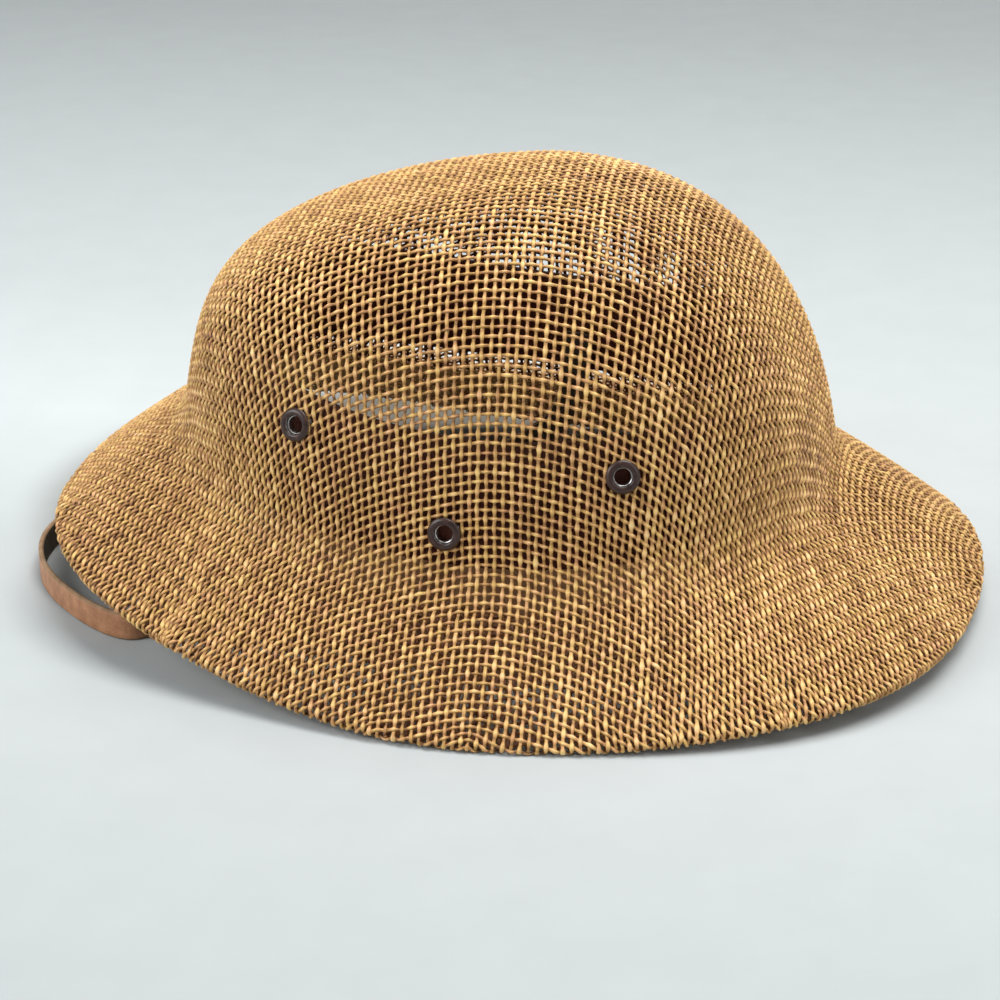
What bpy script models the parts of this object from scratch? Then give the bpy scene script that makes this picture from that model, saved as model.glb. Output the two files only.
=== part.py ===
"""Sun helmet moulded from one sheet of open woven paper cord.

Metres, +Z up. The front of the helmet looks along -X and the wearer's left is -Y. The helmet
stands by itself on z = 0: the lowest stretch of its rim and the lower edge of the chin strap touch.
"""
import math

import bmesh
import bpy
from mathutils import Matrix, Vector

# Overall form. The foot is the line where the crown meets the brim, measured on mid-cloth.
BRIM_LENGTH = 0.322
BRIM_WIDTH = 0.273
FOOT_LENGTH = 0.225
FOOT_WIDTH = 0.189
HEIGHT = 0.1464
FOOT_HEIGHT = 0.0375
FRONT_LIFT = 0.027
FOOT_LIFT = 0.023

# Crown. Roundness is a superellipse exponent: 2 is an ellipse, more has fuller shoulders.
ROUND_FRONT = 4.2
ROUND_BACK = 2.45
ROUND_SIDE = 3.0
DRAFT = 0.11
FRONT_SLOPE = 0.21
SLOPE_BLEND = 0.014
BRIM_BOW = 0.10
FILLET = 0.011

# Cloth: one sheet, turned under at the rim.
CLOTH = 0.0018
LAYER_GAP = 0.0006
UNDER_EDGE = 0.14
REST_FLAT = 0.0004
CLEARANCE = 0.0003

# Sweatband inside the foot of the crown. Its height is a share of the crown's at the side.
BAND_THICK = 0.0015
BAND_SHARE = 0.405
BAND_INSET = 0.013
BAND_FRONT_INSET = 0.020
BAND_RISE = 0.004

# Vent eyelets.
EYELET_BORE = 0.0058
EYELET_BARREL = 0.0068
EYELET_FLANGE = 0.0112
EYELET_WASHER = 0.0094
EYELET_PLATE = 0.0006
EYELET_CROWN = 0.0005
EYELET_SAG = 0.0004

# Chin strap.
STRAP_WIDTH = 0.010
STRAP_THICK = 0.0018
STRAP_END_SHARE = 0.41
STRAP_FLOOR_GAP = 0.00005

# Mesh density.
TURNS = 64
CROWN_ROWS = 10
FILLET_ROWS = 3
BRIM_ROWS = 4
FOLD_ROWS = 4
UNDER_ROWS = 4
FINE_ROWS = 48
EYELET_SIDES = 16
STRAP_STATIONS = 66
STRAP_TWIST = 8
PUNCH_DEPTHS = 4
PROBE_TURN = 1.0
PROBE_RISE = 0.002

# One row for each section of one half, turned in equal steps from the back to the front. Out is
# the reach from the middle as a share of a plain oval of the named length and width. Foot lift
# and rim lift are shares of FOOT_LIFT and FRONT_LIFT: the helmet leans back on its rim.
SECTIONS = [
    {"foot_out": 0.975, "foot_lift": 0.17, "rim_out": 1.005, "rim_lift": 0.20},
    {"foot_out": 1.046, "foot_lift": 0.24, "rim_out": 1.055, "rim_lift": 0.21},
    {"foot_out": 1.030, "foot_lift": 0.06, "rim_out": 1.025, "rim_lift": 0.03},
    {"foot_out": 1.000, "foot_lift": 0.00, "rim_out": 1.010, "rim_lift": 0.01},
    {"foot_out": 1.033, "foot_lift": 0.24, "rim_out": 1.003, "rim_lift": 0.35},
    {"foot_out": 1.070, "foot_lift": 0.73, "rim_out": 1.040, "rim_lift": 0.90},
    {"foot_out": 1.026, "foot_lift": 1.00, "rim_out": 0.995, "rim_lift": 1.00},
]

# Turn from the back in degrees, and the rise above the foot as a share of the crown's height.
EYELETS = [
    {"name": "front", "turn": 122.5, "rise": 0.375},
    {"name": "back", "turn": 55.0, "rise": 0.312},
    {"name": "low", "turn": 89.5, "rise": 0.138},
]

# The strap's way along the surface from its left end to its right end, as shares of the half
# length and half width of the brim. The two ends go up inside the sweatband.
STRAP_ROUTE = [
    {"along": -0.204, "across": -0.553},
    {"along": -0.367, "across": -0.517},
    {"along": -0.530, "across": -0.533},
    {"along": -0.642, "across": -0.588},
    {"along": -0.708, "across": -0.646},
    {"along": -0.805, "across": -0.604},
    {"along": -0.927, "across": -0.487},
    {"along": -1.008, "across": -0.360},
    {"along": -1.049, "across": -0.213},
    {"along": -1.039, "across": -0.051},
    {"along": -0.968, "across": 0.122},
    {"along": -0.835, "across": 0.284},
    {"along": -0.662, "across": 0.416},
    {"along": -0.469, "across": 0.507},
    {"along": -0.255, "across": 0.553},
]


def smooth(values, place):
    """Catmull-Rom value at a fractional place in an open list."""
    last = len(values) - 1
    first = min(int(place), last - 1)
    f = place - first
    a = values[max(first - 1, 0)]
    b, c = values[first], values[first + 1]
    d = values[min(first + 2, last)]
    linear, square, cube = c - a, 2 * a - 5 * b + 4 * c - d, 3 * (b - c) + d - a
    return b + (linear * f + square * f ** 2 + cube * f ** 3) / 2


def cosine_terms(column):
    """Terms of the cosine sum that passes through a column of SECTIONS."""
    rows = [row[column] for row in SECTIONS]
    last = len(rows) - 1
    ends = [0.5 if i in (0, last) else 1.0 for i in range(last + 1)]
    return [ends[k] * 2 / last * sum(ends[i] * rows[i] * math.cos(math.pi * k * i / last)
                                     for i in range(last + 1))
            for k in range(last + 1)]


TERMS = {column: cosine_terms(column) for column in SECTIONS[0]}


def by_turn(column, turn):
    """A column of SECTIONS at any turn in degrees: smooth, and alike on both sides."""
    angle = math.radians(turn)
    return sum(term * math.cos(k * angle) for k, term in enumerate(TERMS[column]))


def oval_point(length, width, share, turn, height):
    """A point in a turned direction, at a share of an oval's reach there."""
    c, s = math.cos(math.radians(turn)), math.sin(math.radians(turn))
    reach = share / math.hypot(2 * c / length, 2 * s / width)
    return Vector((reach * c, reach * s, height))


def foot_point(turn):
    height = FOOT_HEIGHT + by_turn("foot_lift", turn) * FOOT_LIFT
    return oval_point(FOOT_LENGTH, FOOT_WIDTH, by_turn("foot_out", turn), turn, height)


def rim_point(turn):
    height = by_turn("rim_lift", turn) * FRONT_LIFT + (CLOTH + LAYER_GAP) / 2
    return oval_point(BRIM_LENGTH, BRIM_WIDTH, by_turn("rim_out", turn), turn, height)


def blend_turn(turn, front, side, back):
    """A value that changes smoothly from the front to the side and on to the back."""
    c = math.cos(math.radians(turn))
    end = back if c > 0 else front
    return side + (end - side) * c * c


def crown_at(turn, inward, rise):
    """Mid-cloth of the crown: inward 1 at the foot and 0 at the pole, rise 0 at the foot."""
    foot = foot_point(turn)
    share = inward * (1 - DRAFT * rise)
    x, y = foot.x * share, foot.y * share
    dip = FRONT_SLOPE * (math.hypot(x, SLOPE_BLEND) - x) / 2
    return Vector((x, y, foot.z + (HEIGHT - foot.z) * rise - dip * rise ** 2))


def crown_point(turn, rise):
    n = blend_turn(turn, ROUND_FRONT, ROUND_SIDE, ROUND_BACK)
    return crown_at(turn, (1 - rise ** n) ** (1 / n), rise)


def crown_sweep(turn, angle):
    """The crown by the angle in its profile: 90 at the pole, 0 at the foot."""
    n = blend_turn(turn, ROUND_FRONT, ROUND_SIDE, ROUND_BACK)
    c, s = math.cos(math.radians(angle)), math.sin(math.radians(angle))
    size = (c ** n + s ** n) ** (-1 / n)
    return crown_at(turn, c * size, s * size)


def brim_point(turn, out):
    """Mid-cloth of the brim: out is 0 at the foot and 1 at the rim."""
    foot, rim = foot_point(turn), rim_point(turn)
    point = foot.lerp(rim, out)
    point.z = foot.z + (rim.z - foot.z) * (out * (1 - BRIM_BOW) + BRIM_BOW * out * out)
    return point


def walk(points, distance):
    """The point at a distance along a polyline."""
    for a, b in zip(points, points[1:]):
        step = (b - a).length
        if distance <= step:
            return a.lerp(b, distance / step)
        distance -= step
    return points[-1].copy()


def length_of(points):
    return sum((b - a).length for a, b in zip(points, points[1:]))


def section(turn):
    """Mid-cloth points of one section: crown from the pole, foot fillet, brim, fold, under layer."""
    crown = [crown_sweep(turn, 90.0 * (1 - i / FINE_ROWS)) for i in range(FINE_ROWS + 1)]
    brim = [brim_point(turn, i / FINE_ROWS) for i in range(FINE_ROWS + 1)]
    crown_run = length_of(crown) - FILLET
    brim_run = length_of(brim) - FILLET
    rows = [walk(crown, crown_run * i / CROWN_ROWS) for i in range(1, CROWN_ROWS + 1)]
    start, corner, end = walk(crown, crown_run), brim[0], walk(brim, FILLET)
    for i in range(1, FILLET_ROWS + 1):
        f = i / (FILLET_ROWS + 1)
        rows.append(start * (1 - f) ** 2 + corner * 2 * f * (1 - f) + end * f * f)
    rows += [walk(brim, FILLET + brim_run * i / BRIM_ROWS) for i in range(BRIM_ROWS + 1)]
    out = (brim[-1] - brim[-2]).normalized()
    side = Vector((-out.y, out.x, 0.0)).normalized()
    down = side.cross(out)
    if down.z > 0:
        down = -down
    radius = (CLOTH + LAYER_GAP) / 2
    for i in range(1, FOLD_ROWS + 1):
        bend = math.pi * i / FOLD_ROWS
        rows.append(brim[-1] + down * radius * (1 - math.cos(bend)) + out * radius * math.sin(bend))
    for i in range(1, UNDER_ROWS + 1):
        inner = 1 - (1 - UNDER_EDGE) * i / UNDER_ROWS
        rows.append(brim_point(turn, inner) + down * 2 * radius)
    return rows


def turn_list():
    return [360.0 * i / TURNS for i in range(TURNS)]


def material(name, colour, rough, metal=0.0):
    made = bpy.data.materials.new(name)
    made.use_nodes = True
    shader = made.node_tree.nodes["Principled BSDF"]
    shader.inputs["Base Color"].default_value = (*colour, 1.0)
    shader.inputs["Roughness"].default_value = rough
    shader.inputs["Metallic"].default_value = metal
    return made


def add_object(name, mesh, collection, parent, finish=None):
    made = bpy.data.objects.new(name, mesh)
    collection.objects.link(made)
    made.parent = parent
    if finish:
        mesh.materials.append(finish)
    return made


def loft(name, rings, closed, pole=None):
    """A surface through rings of equal count, with a fan to the pole where one is given."""
    bm = bmesh.new()
    made = [[bm.verts.new(p) for p in ring] for ring in rings]
    count = len(rings[0])
    for inner, outer in zip(made, made[1:]):
        for i in range(count if closed else count - 1):
            j = (i + 1) % count
            bm.faces.new((inner[i], outer[i], outer[j], inner[j]))
    if pole is not None:
        tip = bm.verts.new(pole)
        for i in range(count):
            bm.faces.new((tip, made[0][i], made[0][(i + 1) % count]))
    mesh = bpy.data.meshes.new(name)
    bm.to_mesh(mesh)
    bm.free()
    mesh.shade_smooth()
    return mesh


def solidify(target, thickness):
    wall = target.modifiers.new("wall", "SOLIDIFY")
    wall.thickness = thickness
    wall.offset = 0.0
    wall.use_even_offset = True


def cut(target, cutter):
    hole = target.modifiers.new("cut_" + cutter.name, "BOOLEAN")
    hole.operation = "DIFFERENCE"
    hole.object = cutter


def as_cutter(target):
    target.hide_render = True
    target.display_type = "WIRE"


def settle_height(sections):
    """How far the cloth moves down so that REST_FLAT of its lowest stretch is pressed flat."""
    lowest = min(point.z for rows in sections for point in rows)
    return lowest - CLOTH / 2 + REST_FLAT


def build_shell(kit, sections):
    rings = [[rows[r] for rows in sections] for r in range(len(sections[0]))]
    pole = crown_at(0.0, 0.0, 1.0)
    mesh = loft("shell", rings, closed=True, pole=pole)
    shell = add_object("shell", mesh, kit["parts"], kit["carrier"], kit["cloth"])
    shell.location.z = -kit["settle"]
    solidify(shell, CLOTH)
    return shell


def build_rest_plane(kit):
    """The surface under the rim, as a cutter that flattens the stretch that it rests on."""
    bm = bmesh.new()
    bmesh.ops.create_cube(bm, size=1.0)
    bmesh.ops.scale(bm, vec=(2 * BRIM_LENGTH, 2 * BRIM_WIDTH, FOOT_HEIGHT), verts=bm.verts)
    bmesh.ops.translate(bm, vec=(0.0, 0.0, -FOOT_HEIGHT / 2), verts=bm.verts)
    mesh = bpy.data.meshes.new("rest_plane")
    bm.to_mesh(mesh)
    bm.free()
    plane = add_object("rest_plane", mesh, kit["cutters"], kit["carrier"])
    as_cutter(plane)
    return plane


def eyelet_frame(kit, turn, rise):
    """Place on the crown's mid-cloth, with local Z along the outward normal."""
    centre = crown_point(turn, rise)
    round_way = crown_point(turn + PROBE_TURN, rise) - crown_point(turn - PROBE_TURN, rise)
    up_way = crown_point(turn, rise + PROBE_RISE) - crown_point(turn, rise - PROBE_RISE)
    normal = round_way.cross(up_way).normalized()
    if normal.dot(Vector((centre.x, centre.y, 0.0))) < 0:
        normal = -normal
    centre.z -= kit["settle"]
    turned = normal.to_track_quat("Z", "Y").to_matrix().to_4x4()
    return Matrix.Translation(centre) @ turned


def eyelet_mesh():
    """Turned profile, down its outer side and back up the bore."""
    seat = CLOTH / 2 + CLEARANCE
    inner_seat = -seat - EYELET_SAG
    bore, barrel = EYELET_BORE / 2, EYELET_BARREL / 2
    flange, washer = EYELET_FLANGE / 2, EYELET_WASHER / 2
    rolled = (flange + bore) / 2
    profile = [
        (bore, seat + EYELET_PLATE),
        (rolled, seat + EYELET_PLATE + EYELET_CROWN),
        (flange, seat + EYELET_PLATE / 2),
        (flange - EYELET_PLATE / 2, seat),
        (barrel, seat),
        (barrel, inner_seat),
        (washer, inner_seat),
        (washer, inner_seat - EYELET_PLATE),
        (bore, inner_seat - EYELET_PLATE),
    ]
    bm = bmesh.new()
    verts = [bm.verts.new((r, 0.0, z)) for r, z in profile]
    for a, b in zip(verts, verts[1:] + verts[:1]):
        bm.edges.new((a, b))
    mesh = bpy.data.meshes.new("vent_eyelet")
    bm.to_mesh(mesh)
    bm.free()
    return mesh


def build_eyelets(kit, shell):
    mesh = eyelet_mesh()
    mesh.materials.append(kit["eyelet"])
    for side, sign in (("left", -1.0), ("right", 1.0)):
        for row in EYELETS:
            frame = eyelet_frame(kit, sign * row["turn"], row["rise"])
            name = f"vent_eyelet_{side}_{row['name']}"
            eyelet = add_object(name, mesh, kit["parts"], kit["carrier"])
            eyelet.matrix_local = frame
            spin = eyelet.modifiers.new("spin", "SCREW")
            spin.steps = EYELET_SIDES
            spin.render_steps = EYELET_SIDES
            spin.use_merge_vertices = True
            spin.merge_threshold = 0.00001
            bm = bmesh.new()
            bmesh.ops.create_cone(bm, cap_ends=True, segments=EYELET_SIDES,
                                  depth=CLOTH * PUNCH_DEPTHS,
                                  radius1=EYELET_BARREL / 2 + CLEARANCE,
                                  radius2=EYELET_BARREL / 2 + CLEARANCE)
            punch_mesh = bpy.data.meshes.new("punch_" + name)
            bm.to_mesh(punch_mesh)
            bm.free()
            punch = add_object("punch_" + name, punch_mesh, kit["cutters"], kit["carrier"])
            punch.matrix_local = frame
            as_cutter(punch)
            cut(shell, punch)


def band_height():
    return BAND_SHARE * (HEIGHT - FOOT_HEIGHT)


def band_point(kit, turn, up):
    """Middle of the sweatband's wall: up is 0 at its lower edge and 1 at its upper edge."""
    foot = foot_point(turn)
    radial = Vector((foot.x, foot.y, 0.0)).normalized()
    rise = BAND_RISE / (HEIGHT - foot.z)
    seat = crown_point(turn, rise)
    low = seat - radial * (CLOTH / 2 + CLEARANCE + BAND_THICK / 2)
    inset = blend_turn(turn, BAND_FRONT_INSET, BAND_INSET, BAND_INSET)
    high = foot - radial * inset + Vector((0.0, 0.0, band_height()))
    point = low.lerp(high, up)
    point.z -= kit["settle"]
    return point


def build_sweatband(kit):
    rings = [[band_point(kit, turn, up) for turn in turn_list()] for up in (1.0, 0.5, 0.0)]
    mesh = loft("sweatband", rings, closed=True)
    band = add_object("sweatband", mesh, kit["parts"], kit["carrier"], kit["band"])
    solidify(band, BAND_THICK)


def strap_path(kit):
    """Centre line of the strap, from the left end inside the sweatband to the right end."""
    inner = BAND_THICK / 2 + 2 * CLEARANCE + STRAP_THICK / 2
    half = STRAP_WIDTH / 2
    ends = []
    for sign in (-1.0, 1.0):
        edge = band_point(kit, sign * 90.0, 0.0).z
        top = band_point(kit, sign * 90.0, STRAP_END_SHARE)
        top.y -= sign * inner
        low = Vector((top.x - half / 3, top.y, edge))
        drop = Vector((top.x - STRAP_WIDTH, top.y, edge / 2))
        ends.append([top, low, drop])
    rest = half + STRAP_FLOOR_GAP
    floor = [Vector((row["along"] * BRIM_LENGTH / 2, row["across"] * BRIM_WIDTH / 2, rest))
             for row in STRAP_ROUTE]
    return ends[0] + floor + ends[1][::-1]


def build_strap(kit):
    path = strap_path(kit)
    last = len(path) - 1
    stations = [Vector([smooth([p[k] for p in path], last * i / STRAP_STATIONS) for k in range(3)])
                for i in range(STRAP_STATIONS + 1)]
    low, high = [], []
    for i, centre in enumerate(stations):
        ahead = stations[min(i + 1, STRAP_STATIONS)] - stations[max(i - 1, 0)]
        heading = Vector((ahead.x, ahead.y, 0.0)).normalized()
        lengthways = Vector((-1.0 if i * 2 < STRAP_STATIONS else 1.0, 0.0, 0.0))
        hanging = max(0.0, 1 - min(i, STRAP_STATIONS - i) / STRAP_TWIST)
        heading = heading.lerp(lengthways, hanging ** 0.5)
        face = Vector((heading.y, -heading.x, 0.0)).normalized()
        across = face.cross(ahead).normalized()
        if across.z < 0 or (abs(across.z) < 0.05 and across.x > 0):
            across = -across
        half = across * STRAP_WIDTH / 2
        edge = centre - half
        lift = max(0.0, STRAP_FLOOR_GAP - edge.z)
        low.append(edge + Vector((0.0, 0.0, lift)))
        high.append(centre + half + Vector((0.0, 0.0, lift)))
    mesh = loft("chin_strap", [low, high], closed=False)
    strap = add_object("chin_strap", mesh, kit["parts"], kit["carrier"], kit["leather"])
    solidify(strap, STRAP_THICK)
    return stations


def main():
    for old in list(bpy.data.objects):
        bpy.data.objects.remove(old, do_unlink=True)
    parts = bpy.data.collections.new("pith_helmet")
    cutters = bpy.data.collections.new("cutters")
    for collection in (parts, cutters):
        bpy.context.scene.collection.children.link(collection)
    carrier = bpy.data.objects.new("helmet", None)
    parts.objects.link(carrier)
    sections = [section(turn) for turn in turn_list()]
    kit = {
        "parts": parts,
        "cutters": cutters,
        "carrier": carrier,
        "settle": settle_height(sections),
        "cloth": material("woven_cord", (0.60, 0.40, 0.18), 0.6),
        "band": material("band_leather", (0.035, 0.025, 0.02), 0.5),
        "eyelet": material("eyelet_paint", (0.06, 0.022, 0.016), 0.35, 0.3),
        "leather": material("strap_leather", (0.42, 0.22, 0.12), 0.6),
    }
    shell = build_shell(kit, sections)
    cut(shell, build_rest_plane(kit))
    build_eyelets(kit, shell)
    build_sweatband(kit)
    stations = build_strap(kit)
    front = min(point.x for point in stations) - STRAP_THICK / 2
    back = max(point.x for rows in sections for point in rows) + CLOTH / 2
    carrier.location.x = -(front + back) / 2


main()
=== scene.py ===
"""Looks of the woven sun helmet: the draped paper cord weave, eyelets, sweatband and chin strap.

Lengths are metres in the frame's own axes: -X is the front, -Y the wearer's left, +Z up.
"""
import math

import bpy
import numpy as np
from mathutils import Matrix, Vector
from numpy.linalg import norm


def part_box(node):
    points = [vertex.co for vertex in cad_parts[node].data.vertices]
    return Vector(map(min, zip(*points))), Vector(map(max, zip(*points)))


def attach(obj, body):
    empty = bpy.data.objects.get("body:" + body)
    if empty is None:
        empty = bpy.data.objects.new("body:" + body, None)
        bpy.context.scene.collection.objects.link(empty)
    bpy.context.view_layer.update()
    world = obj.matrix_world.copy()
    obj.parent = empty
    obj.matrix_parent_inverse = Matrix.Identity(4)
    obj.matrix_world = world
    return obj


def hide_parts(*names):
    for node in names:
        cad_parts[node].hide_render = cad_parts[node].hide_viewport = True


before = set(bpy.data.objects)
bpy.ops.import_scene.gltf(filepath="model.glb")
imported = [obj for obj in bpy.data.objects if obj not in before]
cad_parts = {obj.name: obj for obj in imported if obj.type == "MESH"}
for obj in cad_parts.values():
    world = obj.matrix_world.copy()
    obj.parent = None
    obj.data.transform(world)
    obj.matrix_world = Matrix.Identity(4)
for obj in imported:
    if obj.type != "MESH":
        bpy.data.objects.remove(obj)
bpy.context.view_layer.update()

# Form of the moulded sheet, as in the part's source. Lengths are on mid-cloth.
BRIM_LENGTH = 0.322
BRIM_WIDTH = 0.273
FOOT_LENGTH = 0.225
FOOT_WIDTH = 0.189
HEIGHT = 0.1464
FOOT_HEIGHT = 0.0375
FRONT_LIFT = 0.027
FOOT_LIFT = 0.023
ROUND_FRONT = 4.2
ROUND_BACK = 2.45
ROUND_SIDE = 3.0
DRAFT = 0.11
FRONT_SLOPE = 0.21
SLOPE_BLEND = 0.014
BRIM_BOW = 0.10
FILLET = 0.011
CLOTH = 0.0018
LAYER_GAP = 0.0006
FOLD_RADIUS = (CLOTH + LAYER_GAP) / 2
UNDER_EDGE = 0.14
CLEARANCE = 0.0003

# Seven sections of one half in equal steps from the back to the front: reach as a share of a plain
# oval, and lift as a share of FOOT_LIFT or FRONT_LIFT.
SECTIONS = {
    "foot_out": (0.975, 1.046, 1.030, 1.000, 1.033, 1.070, 1.026),
    "foot_lift": (0.17, 0.24, 0.06, 0.00, 0.24, 0.73, 1.00),
    "rim_out": (1.005, 1.055, 1.025, 1.010, 1.003, 1.040, 0.995),
    "rim_lift": (0.20, 0.21, 0.03, 0.01, 0.35, 0.90, 1.00),
}

# Tables of the sheet: turns round the helmet, and rows along each section from the pole.
TURN_STEPS = 240
ROWS = 480
EXTEND = 0.185

# Weave: distance between neighbouring cords, how far the cloth is turned, and a cord's own size. The
# widths are on top of a crossing, below it and between crossings.
WEFT_PITCH = 0.00283
WARP_PITCH = 0.00312
WEAVE_TURN = math.radians(8.5)
WARP_WIDTHS = (0.00128, 0.00120, 0.00104)
WEFT_WIDTHS = (0.00164, 0.00138, 0.00110)
CORD_THICK = 0.00118
CORD_SWING = 0.00044
CROWDING = 0.96
CORD_SIDES = 6
SHORTEST_CORD = 5
EYELET_CLEAR = 0.0041
WEAVE_SEED = 11

# Cords on the wearer's right upper crown are fuller, in full from this far beside the middle, so
# that less of the backdrop shows through both walls.
RIGHT_FULLER = 0.20
RIGHT_FULL_FROM = 0.05

# Places per crossing, a cord's drift in waves (share, length) and its knocks, how much a cord and a
# float differ in width and in tone, and how a cord thickens where it is squeezed.
PER_CROSSING = 4
WANDER = 0.035
WANDER_WAVES = ((1.0, 22), (0.6, 7.3))
JITTER = 0.030
UNEVEN = (0.05, 0.07)
TONE_SHARES = (0.6, 0.8)
THICK_GIVE = 0.25
THICK_RANGE = (0.94, 1.05)

# Rings are closer up to this far beyond the rim, and closest in the zone of the fold.
HALF_RINGS = 0.003
FOLD_ZONE = (-0.0012, 2.2 * np.pi / 2 * FOLD_RADIUS)

# Fibre pattern: steps from cord to cord, along and across, and its share of a cord's width.
FIBRE_STEPS = (0.371, 0.0113)
FIBRE_WIDE = 0.6

# Drape: a coarse net of springs, one node for several crossings, and then a finer one.
NET_STEPS = (8, 4)
NET_SWEEPS = (200, 60)
HEM_SWEEPS = 60
NET_MARGIN = 0.115
NET_SHEAR = 0.06
DIAGONAL_STRETCH = 0.22
POLE_ZONE = 0.045
MEASURE_EVERY = 8

# What would lie below the floor is squeezed into the last of these above it.
PRESS_ZONE = 0.0010
PRESS_SHARE = 0.62
WARP_NAMES = ("warp_cords_left", "warp_cords_middle", "warp_cords_right")
WEFT_NAMES = ("weft_cords_front", "weft_cords_middle", "weft_cords_back")

# Eyelets: height of the flange over its seat, and the turned profile in millimetres from the axis
# and from mid-cloth, down the bore and back up outside. The rows between the two numbers are bare.
EYELET_TOP = 0.0011
EYELET_TURNS = 40
EYELET_PROFILE = (
    (4.20, 2.28), (3.75, 2.24), (3.40, 2.10), (3.18, 1.86), (3.08, 1.50), (3.06, 0.90), (3.00, 0.80),
    (2.82, 0.76), (2.76, 0.66), (2.76, -1.90), (2.84, -2.12), (3.00, -2.20), (4.50, -2.20),
    (4.68, -2.10), (4.70, -1.95), (4.66, -1.64), (3.44, -1.60), (3.40, -1.50), (3.40, 1.10),
    (3.50, 1.20), (5.36, 1.20), (5.52, 1.24), (5.60, 1.36), (5.56, 1.52), (5.36, 1.76),
    (5.02, 2.02), (4.62, 2.20),
)
EYELET_BARE = (3, 16)

# Sweatband, with its stitched row, the rubbed top edge, and the seam's depth (a share) and width.
BAND_THICK = 0.0015
BAND_SHARE = 0.405
BAND_INSET = 0.013
BAND_FRONT_INSET = 0.020
BAND_RISE = 0.004
BAND_TURNS = 288
BAND_BEAD = 0.0011
BAND_ROW = 0.0034
BAND_RUB = 0.006
BAND_SEAM = (0.35, 0.0007)
BAND_STITCH = 0.0042
BAND_MEAN_REACH = 0.098
STITCH_HALF_SHARE = 0.34
THREAD_THICK = 0.0005

# Chin strap. The route on the floor is in shares of the brim's half length and half width.
STRAP_WIDTH = 0.010
STRAP_THICK = 0.0018
STRAP_ROUNDING = 0.42
STRAP_END_SHARE = 0.41
STRAP_FLOOR_GAP = 0.00005
STRAP_STATIONS = 330
STRAP_TWIST_SHARE = 8 / 66
STRAP_ROUTE = (
    (-0.204, -0.553), (-0.367, -0.517), (-0.530, -0.533), (-0.642, -0.588), (-0.708, -0.646),
    (-0.805, -0.604), (-0.927, -0.487), (-1.008, -0.360), (-1.049, -0.213), (-1.039, -0.051),
    (-0.968, 0.122), (-0.835, 0.284), (-0.662, 0.416), (-0.469, 0.507), (-0.255, 0.553),
)

# Camera.
CAMERA_TARGET = (-0.00299, -0.00164, 0.02709)
CAMERA_DISTANCE = 1.05481
CAMERA_ANGLES = (15.79, 23.26, -0.58)
CAMERA_LENS = 107.45

# Stage: its profile, and the paper's painted light between FADE's two depths: brightest in a band
# just beyond the helmet's middle and darker on both sides of it, most of all towards the backdrop.
# Across FAR_ZONE it goes over to the world's tone, so that its end doesn't show.
FLOOR = -0.00002
STAGE_DEPTHS = (-4.0, -1.5, 0.0, 1.0, 2.2)
STAGE_BEND = 0.9
STAGE_WIDTHS = (-4, 4, 9)
STAGE_TOP = (3.1, 3.5)
FADE = (-0.30, 1.10)
STAGE_TINT = (0.92, 0.985, 1.0)
STAGE_PAINTED_LIGHT = ((0.0, 0.435), (0.20, 0.48), (0.29, 0.56), (0.40, 0.475), (0.75, 0.345), (1.0, 0.31))
FAR_ZONE = (1.1, 2.8)
FAR_TONE = (0.86, 0.92, 0.94)

# Ovals painted on the floor, one over their half lengths: painted shade under the crown, as warm and
# dark as the helmet's inside where it shows through the crown's foot, and a painted grey shadow
# behind the far rim.
SHADE_MIDDLE = (0.018, 0.020, 0.0)
SHADE_OVAL = (1 / 0.128, 1 / 0.119, 0.0)
SHADE_EDGES = (1.0, 0.84)
SHADE_TONE = (0.15, 0.075, 0.035)
SHADOW_MIDDLE = (-0.033, 0.045, 0.0)
SHADOW_OVAL = (1 / 0.145, 1 / 0.124, 0.0)
SHADOW_EDGES = (1.18, 0.90)
SHADOW_TONE = (0.28, 0.24, 0.20)

# Lamps, with place, size, power and colour, and the world.
LAMPS = (
    ("key", (0.30, 0.30, 1.50), (1.4, 1.1), 35.0, (1.0, 0.985, 0.96)),
    ("fill", (-1.25, -0.95, 1.00), (1.2, 1.0), 22.0, (0.98, 0.99, 1.0)),
    ("side", (1.50, -0.60, 0.70), (1.0, 0.8), 4.5, (1.0, 0.98, 0.96)),
)
LAMP_TARGET = (0.0, 0.0, 0.05)
WORLD_COLOUR = (0.93, 0.97, 1.0)
WORLD_STRENGTH = 0.34
WHITE = (1.0, 1.0, 1.0)


def by_turn(column, turn):
    """A column of SECTIONS at any turn in radians, as a cosine sum through its rows."""
    rows = np.array(SECTIONS[column])
    last = len(rows) - 1
    ends = np.ones(last + 1)
    ends[[0, last]] = 0.5
    total = 0.0
    for k in range(last + 1):
        wave = np.cos(np.pi * k * np.arange(last + 1) / last)
        total = total + ends[k] * 2 / last * np.sum(ends * rows * wave) * np.cos(k * turn)
    return total


def oval_reach(length, width, share, turn):
    return share / np.hypot(2 * np.cos(turn) / length, 2 * np.sin(turn) / width)


def foot_at(turn):
    """(reach, height) of the foot of the crown."""
    reach = oval_reach(FOOT_LENGTH, FOOT_WIDTH, by_turn("foot_out", turn), turn)
    return reach, FOOT_HEIGHT + by_turn("foot_lift", turn) * FOOT_LIFT


def rim_at(turn):
    reach = oval_reach(BRIM_LENGTH, BRIM_WIDTH, by_turn("rim_out", turn), turn)
    return reach, by_turn("rim_lift", turn) * FRONT_LIFT + FOLD_RADIUS


def crown_curve(turn, inward, rise):
    """(reach, height) points of the crown: inward 1 and rise 0 at the foot."""
    foot_reach, foot_height = foot_at(turn)
    reach = foot_reach * inward * (1 - DRAFT * rise)
    x = reach * math.cos(turn)
    dip = FRONT_SLOPE * (np.hypot(x, SLOPE_BLEND) - x) / 2
    return np.stack([reach, foot_height + (HEIGHT - foot_height) * rise - dip * rise ** 2], -1)


def roundness(turn):
    c = math.cos(turn)
    return ROUND_SIDE + ((ROUND_BACK if c > 0 else ROUND_FRONT) - ROUND_SIDE) * c * c


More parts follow.
